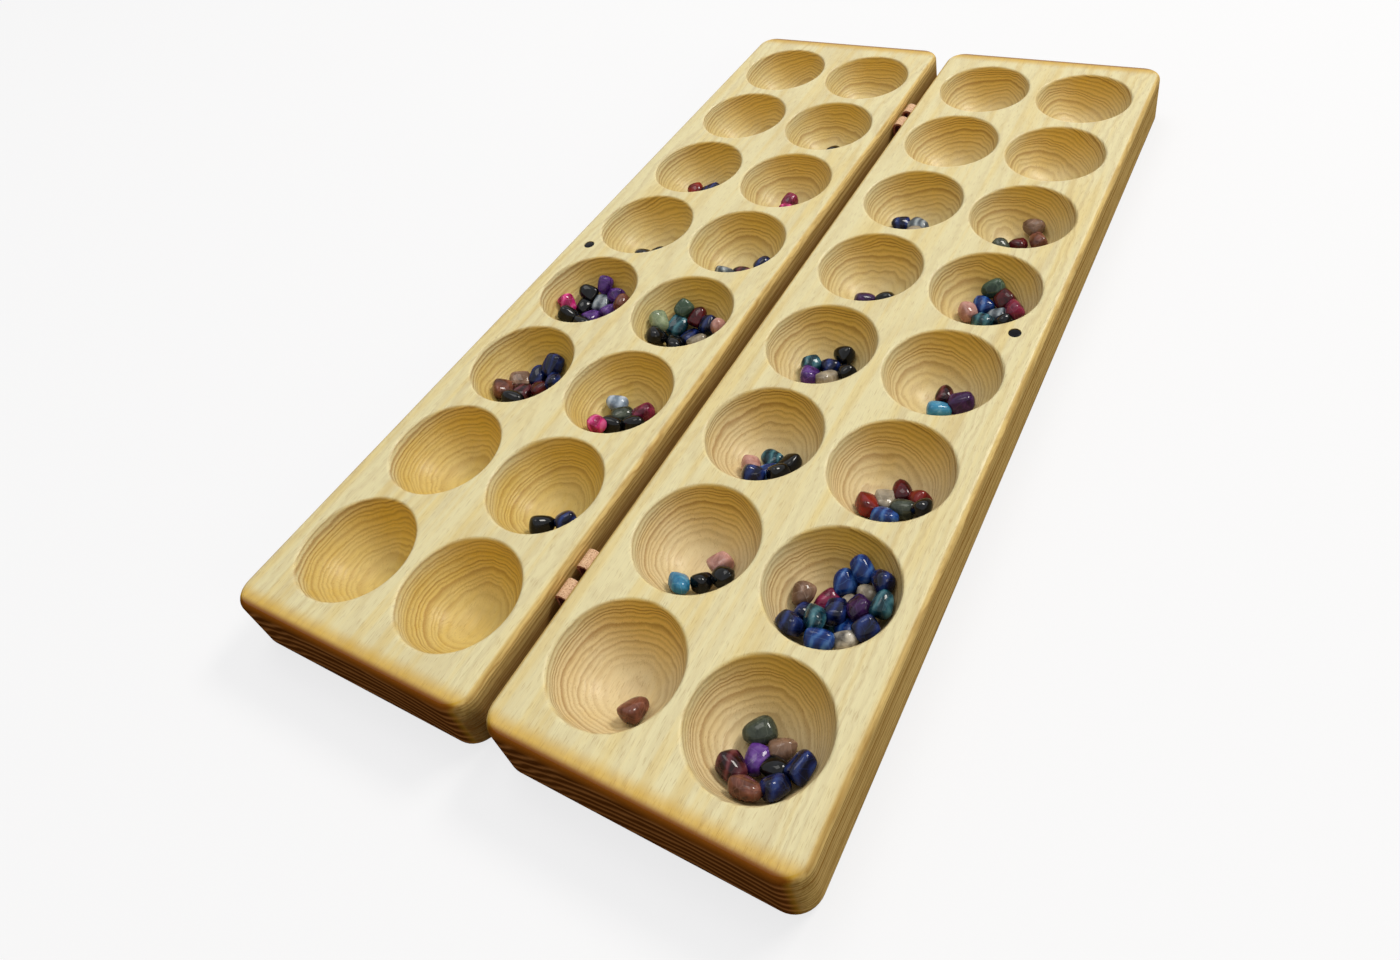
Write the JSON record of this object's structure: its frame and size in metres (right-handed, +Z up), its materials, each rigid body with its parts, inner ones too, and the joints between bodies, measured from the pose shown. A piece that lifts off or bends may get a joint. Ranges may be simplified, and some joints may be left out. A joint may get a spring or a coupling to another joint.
{
  "type": "folding mancala board",
  "caption": "Folding wooden mancala board with rows of round pits, leather band hinges, closing magnets and polished stones; it opens flat for play and folds shut.",
  "frame": {"origin": "centre of the open board's footprint, on the table, with the hinge line above it", "axes": "+Y along the hinge line towards the far end, +X towards the plank that folds, +Z up"},
  "size_m": [0.2988, 0.555, 0.034],
  "materials": {
    "ash": "satin",
    "leather": "matte",
    "brass": "polished",
    "magnet": "gloss",
    "mixed_stones": "polished",
    "stone_black": "polished",
    "stone_blue_grey": "polished",
    "stone_brown": "polished",
    "stone_clear": "polished",
    "stone_dark_green": "polished",
    "stone_grey": "polished",
    "stone_light_blue": "polished",
    "stone_magenta": "polished",
    "stone_maroon": "polished",
    "stone_navy": "polished",
    "stone_pink": "polished",
    "stone_purple": "polished",
    "stone_red_brown": "polished"
  },
  "bodies": {
    "left_board": {"far_hinge_band_1": "leather", "far_hinge_band_1_left_tack": "brass", "far_hinge_band_2": "leather", "far_hinge_band_2_left_tack": "brass", "heap_a5": "mixed_stones", "heap_a6": "mixed_stones", "heap_b5": "mixed_stones", "heap_b6": "mixed_stones", "left_board": "ash", "left_magnet": "magnet", "near_hinge_band_1": "leather", "near_hinge_band_1_left_tack": "brass", "near_hinge_band_2": "leather", "near_hinge_band_2_left_tack": "brass", "stone_a3_1": "stone_red_brown", "stone_a3_2": "stone_navy", "stone_a4_1": "stone_black", "stone_a4_2": "stone_black", "stone_b2_1": "stone_black", "stone_b3_1": "stone_pink", "stone_b3_2": "stone_magenta", "stone_b4_1": "stone_grey", "stone_b4_2": "stone_red_brown", "stone_b4_3": "stone_navy", "stone_b7_1": "stone_black", "stone_b7_2": "stone_navy"},
    "right_board": {"far_hinge_band_1_right_tack": "brass", "far_hinge_band_2_right_tack": "brass", "heap_c5": "mixed_stones", "heap_c6": "mixed_stones", "heap_d4": "mixed_stones", "heap_d6": "mixed_stones", "heap_d7": "mixed_stones", "heap_d8": "mixed_stones", "near_hinge_band_1_right_tack": "brass", "near_hinge_band_2_right_tack": "brass", "right_board": "ash", "right_magnet": "magnet", "stone_c3_1": "stone_navy", "stone_c3_2": "stone_blue_grey", "stone_c3_3": "stone_clear", "stone_c4_1": "stone_purple", "stone_c4_2": "stone_black", "stone_c7_1": "stone_light_blue", "stone_c7_2": "stone_clear", "stone_c7_3": "stone_black", "stone_c7_4": "stone_black", "stone_c8_1": "stone_red_brown", "stone_d3_1": "stone_brown", "stone_d3_2": "stone_maroon", "stone_d3_3": "stone_pink", "stone_d3_4": "stone_dark_green", "stone_d5_1": "stone_maroon", "stone_d5_2": "stone_purple", "stone_d5_3": "stone_light_blue"}
  },
  "joints": [
    {"name": "fold", "type": "hinge", "parent": "left_board", "child": "right_board", "pos_m": [0, 0, 0.03415], "axis": [0, -1, 0], "range_deg": [0, 180], "deforming": ["far_hinge_band_1", "far_hinge_band_2", "near_hinge_band_1", "near_hinge_band_2"]}
  ]
}
